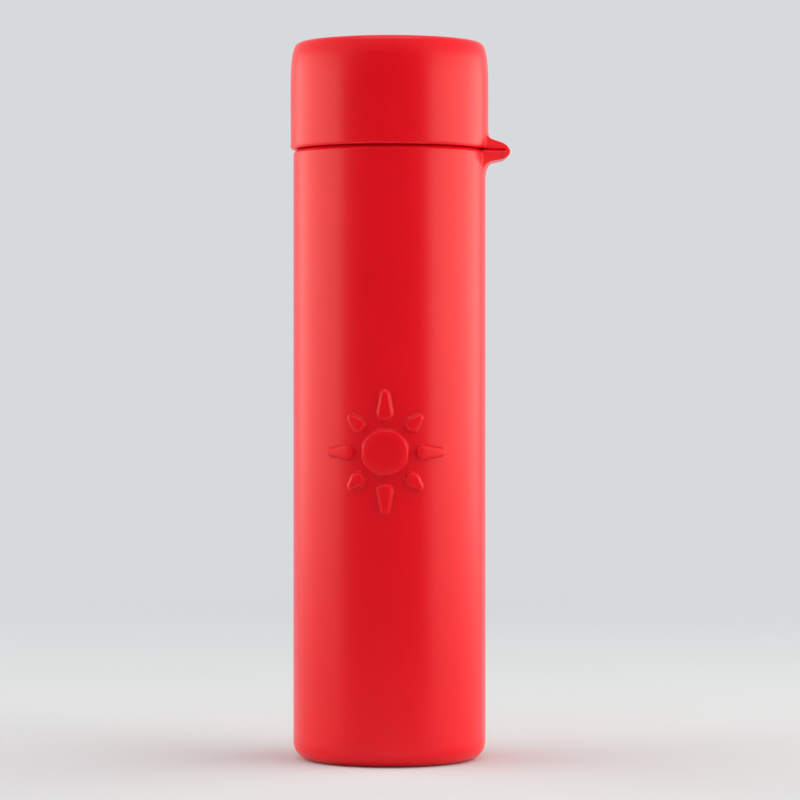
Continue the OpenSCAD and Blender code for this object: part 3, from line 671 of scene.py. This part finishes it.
def makeTube(values):
    bm = bmesh.new()
    low, high = lowZ("heat_tube"), highZ("heat_tube")
    outer, inner, edge, broken, brim = (values[key] for key in ("outer", "inner", "edge", "broken", "brim"))
    lowIn, lowUp, highOut, highDown = values["roll"]
    profile = [(inner + broken, low), (outer - broken, low), (outer, low + broken), (outer, high - edge)]
    profile += [(outer - lowIn, high - edge + lowUp), (outer - edge + highOut, high - highDown)]
    profile += [(outer - edge, high), (inner + brim, high), (inner, high - brim), (inner, low + broken)]
    latheInto(bm, profile, count=160, closed=True)
    addPiece("heatTube", bm, "anodisedAluminium", "root", nodes=["heat_tube"], sharp=30)


makeTube(tube)

# the head with its shoulder, which stays swingGap off the path of the cap's far wall and inset within the solid;
# slopeRows are heights over the rim; overTube and footEdge round its foot on the tube's top (out, up); its two
# screw bosses hang from the plate
head = {
    "skirt": 10.2, "skirtUp": 0.5, "plug": 11.45, "plugEdge": 0.3, "plate": 1.8, "lip": 0.18, "seam": 0.05,
    "overTube": (0.04, 0.02), "footEdge": ((-0.12, 0.02), (-0.03, 0.05), (0, 0.14)), "shoulder": 6.4,
    "swingGap": 0.35, "inset": 0.15, "slopeRows": (3.6, 4.3, 5, 5.7), "boss": 1.8, "bossHole": 0.95,
    "bossX": 7.2, "bossY": 3.0, "bossDown": 0.1, "bossDepth": 5,
}
button = {
    "y": 3.8, "radius": 3, "edge": 0.35, "dish": 0.25, "dishCurve": 1.2, "stem": 1.2, "flange": 0.45,
    "flangeThick": 0.8, "play": 0.15, "dishRows": (0.93, 0.84, 0.72, 0.58, 0.42, 0.22),
}
ring = {"inner": 3.2, "outer": 4.1, "flange": 0.7, "flangeThick": 0.8, "well": 0.1}
port = {
    "y": -3.18, "width": 8.94, "height": 3.16, "wall": 0.3, "fit": 0.15, "brim": 0.11,
    "tongue": 6.7, "tongueThick": 0.7, "tongueEdge": 0.12, "plugFit": 0.05, "plugThick": 1.8, "overlap": 0.1,
}
edgeSize, edgeBack = 0.12, 0.035  # a rounded edge in mm, and how far its middle stands back
headTop = highZ("head_shell")
plateZ = headTop - head["plate"]


def oblongLoop(bm, halfWidth, radius, z, count=64):
    return [
        bm.verts.new((x * mm, y * mm, z * mm))
        for x, y in capsuleLoop((-halfWidth, port["y"]), radius, (halfWidth, port["y"]), radius, count)
    ]


def makeHead(values):
    bm = bmesh.new()
    skirtZ, tubeTop = lowZ("head_shell"), highZ("heat_tube")
    skirt, plug, plugEdge, seam = (values[key] for key in ("skirt", "plug", "plugEdge", "seam"))
    shoulder, inset = values["shoulder"], values["inset"]
    reach = foldX + cap["bore"] - values["swingGap"]

    def swing(height):  # radius that the cap's far wall leaves free as it swings about the fold
        return math.sqrt(reach ** 2 - height ** 2) - foldX

    lean = math.atan(shoulder / (swing(shoulder) + foldX))
    edgeR = (headTop - rimZ - shoulder) / (1 - math.sin(lean))
    edgeX = swing(shoulder) - edgeR * math.cos(lean) - inset
    outside = [(skirt + seam, skirtZ), (plug - plugEdge, skirtZ), (plug, skirtZ + plugEdge)]
    outside += [(plug, tubeTop - seam), (plug + values["overTube"][0], tubeTop + values["overTube"][1])]
    foot = swing(tubeTop - rimZ) - inset
    outside += [(foot + out, tubeTop + up) for out, up in values["footEdge"]]
    outside += [(swing(h) - inset, rimZ + h) for h in values["slopeRows"]]
    outside += arc(edgeX, headTop - edgeR, edgeR, math.degrees(lean), 90, steps=12)
    outer = latheInto(bm, outside, count=160)
    skirtUp = values["skirtUp"]
    under = [(skirt + seam, skirtZ), (skirt, skirtZ + seam), (skirt, plateZ - skirtUp), (skirt - skirtUp, plateZ)]
    inner = latheInto(bm, under, count=160)
    lip = values["lip"]
    topLoops, underLoops = [outer[-1]], [inner[-1]]
    half = (port["width"] - port["height"]) / 2
    radius = port["height"] / 2 + port["fit"]
    walls = [(lip, headTop), (lip * 0.3, headTop - lip * 0.3), (0, headTop - lip), (0, plateZ)]
    portLoops = [oblongLoop(bm, half, radius + out, z) for out, z in walls]
    wellRadius = ring["outer"] + ring["well"]
    wellLoops = [ringAt(bm, wellRadius + out, z, 96, (0, button["y"])) for out, z in walls]
    for loops in (portLoops, wellLoops):
        for first, second in zip(loops, loops[1:]):
            bridge(bm, first, second)
        topLoops.append(loops[0])
        underLoops.append(loops[-1])
    for loops in (topLoops, underLoops):
        edges = [bm.edges.get((a, b)) for loop in loops for a, b in zip(loop, loop[1:] + loop[:1])]
        bmesh.ops.triangle_fill(bm, edges=edges, use_beauty=True, normal=(0, 0, 1))
    bossZ, bossTop = skirtZ - values["bossDown"], skirtZ - values["bossDown"] + values["bossDepth"]
    for side in (-1, 1):
        centre = (side * values["bossX"], values["bossY"])
        wall = [(values["bossHole"], bossZ), (values["boss"], bossZ), (values["boss"], plateZ)]
        wall += [(0, plateZ), (0, bossTop), (values["bossHole"], bossTop)]
        loops = [ringAt(bm, r, z, 32, centre) for r, z in wall]
        for first, second in zip(loops, loops[1:] + loops[:1]):
            if len(set(first)) > 1 or len(set(second)) > 1:  # not between two points on the axis
                bridge(bm, first, second)
    bmesh.ops.remove_doubles(bm, verts=bm.verts, dist=tiny)
    addPiece("headShell", bm, "mouldedAbs", "root", nodes=["head_shell"], sharp=35)


makeHead(head)


def makeButton(values):
    bm = bmesh.new()
    bottom, top = lowZ("power_button"), highZ("power_button")
    r, edge, dish, stem = values["radius"], values["edge"], values["dish"], values["stem"]
    flangeTop = plateZ - ring["flangeThick"] - values["play"]
    flangeR, flangeLow = r + values["flange"], flangeTop - values["flangeThick"]
    profile = [(0, bottom), (stem, bottom), (stem, flangeLow), (flangeR, flangeLow)]
    profile += [(flangeR, flangeTop), (r, flangeTop)] + arc(r - edge, top - edge, edge, 0, 90, steps=8)
    dishR, curve = r - edge, values["dishCurve"]
    profile += [(dishR * s, top - dish * (1 - s * s) ** curve) for s in values["dishRows"]]
    profile += [(0, top - dish)]
    latheInto(bm, profile, count=96, centre=(0, values["y"]))
    addPiece("pressButton", bm, "mouldedAbs", "button", nodes=["power_button"], sharp=40)


makeButton(button)


def makeRing(values):
    bm = bmesh.new()
    inner, outer, wide = values["inner"], values["outer"], values["outer"] + values["flange"]
    bottom = plateZ - values["flangeThick"]
    profile = [(inner, bottom), (wide, bottom), (wide, plateZ), (outer, plateZ), (outer, headTop - edgeSize)]
    profile += [(outer - edgeBack, headTop - edgeBack), (outer - edgeSize, headTop), (inner + edgeSize, headTop)]
    profile += [(inner + edgeBack, headTop - edgeBack), (inner, headTop - edgeSize)]
    latheInto(bm, profile, count=96, centre=(0, button["y"]), closed=True)
    addPiece("glowRing", bm, "diffusingPolycarbonate", "root", nodes=["light_ring"], sharp=50)


makeRing(ring)


def makePort(values):
    bm = bmesh.new()
    low, high = lowZ("usb_shell"), highZ("usb_shell")
    half, radius = (values["width"] - values["height"]) / 2, values["height"] / 2
    wall, brim = values["wall"], values["brim"]
    profile = [(0, low), (0, high - edgeSize), (edgeBack, high - edgeBack), (brim, high), (wall - brim, high)]
    profile += [(wall - edgeBack, high - edgeBack), (wall, high - edgeSize), (wall, low)]
    loops = [oblongLoop(bm, half, radius - inset, z) for inset, z in profile]
    for first, second in zip(loops, loops[1:] + loops[:1]):
        bridge(bm, first, second)
    addPiece("portShell", bm, "platedSteel", "root", nodes=["usb_shell"], sharp=50)


makePort(port)


# a block between two corners with bevelled edges
def addBlock(bm, low, high, bevel):
    cube = bmesh.ops.create_cube(bm, size=1)
    size = [b - a for a, b in zip(low, high)]
    middle = [(a + b) / 2 for a, b in zip(low, high)]
    for v in cube["verts"]:
        v.co = Vector([(middle[i] + v.co[i] * size[i]) * mm for i in range(3)])
    edges = {e for v in cube["verts"] for e in v.link_edges}
    bmesh.ops.bevel(bm, geom=list(edges), offset=bevel * mm, segments=2, affect="EDGES", profile=0.5)


# the tongue stands on a plug in the shell and carries a row of contacts on each face
contacts = {"count": 12, "pitch": 0.5, "half": 0.13, "proud": 0.03, "up": 1.9, "down": 0.5, "bevel": 0.015}


def makeTongue(values):
    bm = bmesh.new()
    low, high = lowZ("usb_tongue"), highZ("usb_tongue")
    half = (values["width"] - values["height"]) / 2
    radius = values["height"] / 2 - values["wall"] - values["plugFit"]
    plugTop = low + values["plugThick"]
    corners = ((0, low), (1, low), (1, plugTop), (0, plugTop))
    loops = [oblongLoop(bm, half, radius * share, z) for share, z in corners]
    for first, second in zip(loops, loops[1:]):
        bridge(bm, first, second)
    bmesh.ops.remove_doubles(bm, verts=bm.verts, dist=tiny)
    wide, thick, y = values["tongue"] / 2, values["tongueThick"] / 2, values["y"]
    foot = plugTop - values["overlap"]
    addBlock(bm, (-wide, y - thick, foot), (wide, y + thick, high), values["tongueEdge"])
    addPiece("portTongue", bm, "chipEpoxy", "root", nodes=["usb_tongue"], sharp=40)
    bm = bmesh.new()
    across, proud = contacts["half"], contacts["proud"]
    for i in range(contacts["count"]):
        x = (i - (contacts["count"] - 1) / 2) * contacts["pitch"]
        for face in (y - thick, y + thick):
            addBlock(
                bm, (x - across, face - proud, low + contacts["up"]),
                (x + across, face + proud, high - contacts["down"]), contacts["bevel"])
    addPiece("portContacts", bm, "goldPlating", "root")


makeTongue(port)

# the spring dome in the switch; pressed is the share of its height that it keeps when the button is down
dome = {"radius": 1.65, "thick": 0.12, "points": 8, "pressed": 0.28}


def makeDome(values):
    bm = bmesh.new()
    low, high = lowZ("contact_dome"), highZ("contact_dome")
    rise = high - low - values["thick"]
    shares = [i / values["points"] for i in range(values["points"] + 1)]
    under = [(values["radius"] * s, low + rise * (1 + math.cos(math.pi * s)) / 2) for s in shares]
    profile = [(r, z + values["thick"]) for r, z in under] + list(reversed(under))
    latheInto(bm, profile, count=48, centre=(0, button["y"]))
    spring = addPiece("springDome", bm, "rolledNickel", "root", nodes=["contact_dome"], sharp=40)
    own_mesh(spring)


makeDome(dome)
print("head, button, ring, port and dome made")

# finishes of the solids that stay as they are
nodeFinishes = {
    "base_plug": "mouldedAbs", "base_seal": "nitrileRubber", "head_seal": "nitrileRubber", "base_pad": "cutFoam",
    "cell_can": "platedSteel", "cell_roll": "woundElectrode", "cell_gasket": "gasketPolypropylene",
    "cell_terminal": "platedSteel", "cell_wrap": "shrinkWrap", "cell_ring": "fishPaper",
    "cell_strip": "rolledNickel", "terminal_tab": "rolledNickel", "thermal_fuse": "chipEpoxy",
    "heat_barrier": "aramidFelt", "heater_film": "polyimideFilm", "heater_leads": "leadSilicone",
    "battery_leads": "redLeadSilicone", "thermistor": "dippedEpoxy", "board_frame": "naturalAbs",
    "frame_screws": "platedSteel", "control_board": "maskedLaminate", "control_chip": "chipEpoxy",
    "charge_chip": "chipEpoxy", "power_coil": "sinteredFerrite", "capacitors": "firedCeramic",
    "status_leds": "lampResin", "switch_body": "chipEpoxy", "switch_plunger": "acetal",
}
for node, finishName in nodeFinishes.items():
    for materialSlot in frame["nodes"][node].material_slots:
        materialSlot.material = materials[finishName]
print("solids finished", len(nodeFinishes))

# a plain pale floor; between the two fade distances in metres it goes over into the backdrop's colour, nearer in
# reflections, and that colour is the world's for what sees it; in reflections the backdrop goes dark in front of
# the object under a pale ceiling, as a studio does behind the camera: dark within about 15 degrees of the level,
# pale from 30 degrees up
studio = {
    "floor": "#dae0e8", "backdrop": "#d7dadd", "rings": (0, 0.05, 0.2, 0.8, 4.0), "fade": (0.1, 0.42),
    "mirrorFade": (0.03, 0.17), "darkFrom": 0.4, "darkTo": 0.85, "dark": 0.1, "ceiling": 2.5,
    "roughness": 0.9, "shine": 0.1, "tooth": 2, "toothDepth": 0.02,
}


def reckon(tree, operation, first, second):
    node = addNode(tree, "ShaderNodeMath", {"operation": operation})
    tree.links.new(first, node.inputs[0])
    tree.links.new(second, node.inputs[1])
    return node.outputs["Value"]


# 1 for a ray that shows the backdrop, from the camera, off a gloss or through a clear piece,
# and how bright the backdrop is in that direction
def seenBackdrop(tree, direction):
    path = addNode(tree, "ShaderNodeLightPath").outputs
    seen = reckon(tree, "MAXIMUM", path["Is Camera Ray"], path["Is Glossy Ray"])
    seen = reckon(tree, "MAXIMUM", seen, path["Is Transmission Ray"])
    steeper = addNode(tree, "ShaderNodeVectorMath", {"operation": "MULTIPLY"})
    tree.links.new(direction, steeper.inputs[0])
    steeper.inputs[1].default_value = (1, 1, studio["ceiling"])
    turned = addNode(
        tree, "ShaderNodeVectorMath", {"operation": "NORMALIZE"}, {"Vector": steeper.outputs["Vector"]})
    towards = addNode(tree, "ShaderNodeVectorMath", {"operation": "DOT_PRODUCT"})
    tree.links.new(turned.outputs["Vector"], towards.inputs[0])
    towards.inputs[1].default_value = (0, -1, 0)
    bright = addNode(
        tree, "ShaderNodeMapRange",
        {"interpolation_type": "SMOOTHSTEP", "From Min": studio["darkFrom"], "From Max": studio["darkTo"],
         "To Min": 1, "To Max": studio["dark"]},
        {"Value": towards.outputs["Value"]},
    )
    return seen, reckon(tree, "MAXIMUM", path["Is Camera Ray"], bright.outputs["Result"])


def makeFloor(values):
    bm = bmesh.new()
    latheInto(bm, [(r / mm, 0) for r in values["rings"]], count=96)
    mesh = bpy.data.meshes.new("paperFloor")
    bm.to_mesh(mesh)
    bm.free()
    floor = bpy.data.objects.new("paperFloor", mesh)
    bpy.context.scene.collection.objects.link(floor)
    # studio paper: an even matt face with a faint tooth, drawn at 2 mm so that it shows
    paper = bpy.data.materials.new("studioPaper")
    paper.use_nodes = True
    tree = paper.node_tree
    shader = tree.nodes["Principled BSDF"]
    shader.inputs["Base Color"].default_value = linear(values["floor"])
    shader.inputs["Roughness"].default_value = values["roughness"]
    shader.inputs["Specular IOR Level"].default_value = values["shine"]
    place = addNode(tree, "ShaderNodeTexCoord").outputs["Object"]
    tooth = addNode(
        tree, "ShaderNodeTexNoise", {"Scale": 1 / (values["tooth"] * mm), "Detail": 2}, {"Vector": place})
    bump = addNode(
        tree, "ShaderNodeBump", {"Distance": values["toothDepth"] * mm}, {"Height": tooth.outputs["Fac"]})
    tree.links.new(bump.outputs["Normal"], shader.inputs["Normal"])
    away = addNode(tree, "ShaderNodeVectorMath", {"operation": "LENGTH"}, {"Vector": place})
    fades = [
        addNode(
            tree, "ShaderNodeMapRange", {"interpolation_type": "SMOOTHSTEP", "From Min": near, "From Max": far},
            {"Value": away.outputs["Value"]},
        ).outputs["Result"]
        for near, far in (values["fade"], values["mirrorFade"])
    ]
    seen, bright = seenBackdrop(tree, place)
    mirrored = addNode(tree, "ShaderNodeLightPath").outputs["Is Glossy Ray"]
    share = reckon(tree, "MAXIMUM", reckon(tree, "MULTIPLY", fades[0], seen),
                   reckon(tree, "MULTIPLY", fades[1], mirrored))
    glow = addNode(tree, "ShaderNodeEmission", {"Color": linear(values["backdrop"])}, {"Strength": bright})
    mix = addNode(tree, "ShaderNodeMixShader", links={"Fac": share})
    tree.links.new(shader.outputs["BSDF"], mix.inputs[1])
    tree.links.new(glow.outputs["Emission"], mix.inputs[2])
    tree.links.new(mix.outputs["Shader"], tree.nodes["Material Output"].inputs["Surface"])
    mesh.materials.append(paper)


makeFloor(studio)

# soft boxes: where each stands, what it faces, its width and height in metres, its power in watts and its tint;
# the upper part of each side box is kept out of reflections, so that the flat top of the cap doesn't glare
lamps = {
    "leftBox": {
        "place": (-0.545, 0.11, 0.113), "aim": (-0.045, 0.11, -0.007), "size": (0.9, 0.223), "watts": 1.24,
        "tint": "#fff6e4", "mirrored": True,
    },
    "leftUpper": {
        "place": (-0.4755, 0.11, 0.402), "aim": (0.0245, 0.11, 0.282), "size": (0.9, 0.37), "watts": 1.95,
        "tint": "#fff6e4", "mirrored": False,
    },
    "rightBox": {
        "place": (0.545, 0, 0.113), "aim": (0.045, 0, -0.007), "size": (1.0, 0.223), "watts": 1.69,
        "tint": "#fff6e4", "mirrored": True,
    },
    "rightUpper": {
        "place": (0.4755, 0, 0.402), "aim": (-0.0245, 0, 0.282), "size": (1.0, 0.37), "watts": 2.7,
        "tint": "#fff6e4", "mirrored": False,
    },
    "topBox": {
        "place": (0, -0.15, 0.75), "aim": (0, 0, 0.1), "size": (0.6, 0.4), "watts": 1.2,
        "tint": "#ffffff", "mirrored": True,
    },
}
for name, lamp in lamps.items():
    light = bpy.data.lights.new(name, "AREA")
    light.shape = "RECTANGLE"
    light.size, light.size_y = lamp["size"]
    light.energy = lamp["watts"]
    light.color = linear(lamp["tint"])[:3]
    holder = bpy.data.objects.new(name, light)
    bpy.context.scene.collection.objects.link(holder)
    holder.visible_glossy = lamp["mirrored"]
    holder.location = lamp["place"]
    holder.rotation_euler = (Vector(lamp["aim"]) - holder.location).to_track_quat("-Z", "Y").to_euler()

# the room: a weak even fill, and the backdrop for the rays that show it
room = {"fill": "#eef0f2", "strength": 0.36}


def makeRoom(values):
    world = bpy.data.worlds.new("room")
    bpy.context.scene.world = world
    world.use_nodes = True
    tree = world.node_tree
    fill = tree.nodes["Background"]
    fill.inputs["Color"].default_value = linear(values["fill"])
    fill.inputs["Strength"].default_value = values["strength"]
    seen, bright = seenBackdrop(tree, addNode(tree, "ShaderNodeTexCoord").outputs["Generated"])
    backdrop = addNode(
        tree, "ShaderNodeBackground", {"Color": linear(studio["backdrop"])}, {"Strength": bright})
    mix = addNode(tree, "ShaderNodeMixShader", links={"Fac": seen})
    tree.links.new(fill.outputs["Background"], mix.inputs[1])
    tree.links.new(backdrop.outputs["Background"], mix.inputs[2])
    tree.links.new(mix.outputs["Shader"], tree.nodes["World Output"].inputs["Surface"])


makeRoom(room)

# the photo's angle: a long lens, level, a little above the middle of the object
view = {"place": (0, -0.5322, 0.0605), "lens": 153.5, "shift": (0.0131, -0.0375), "sensor": 36, "nearest": 0.01}
cameraData = bpy.data.cameras.new("camera")
cameraData.sensor_width = view["sensor"]
cameraData.lens = view["lens"]
cameraData.shift_x, cameraData.shift_y = view["shift"]
cameraData.clip_start = view["nearest"]
camera = bpy.data.objects.new("camera", cameraData)
camera.location = view["place"]
camera.rotation_euler = (math.pi / 2, 0, 0)
bpy.context.scene.collection.objects.link(camera)
bpy.context.scene.camera = camera
bpy.context.scene.view_settings.view_transform = "Standard"
print("studio made")
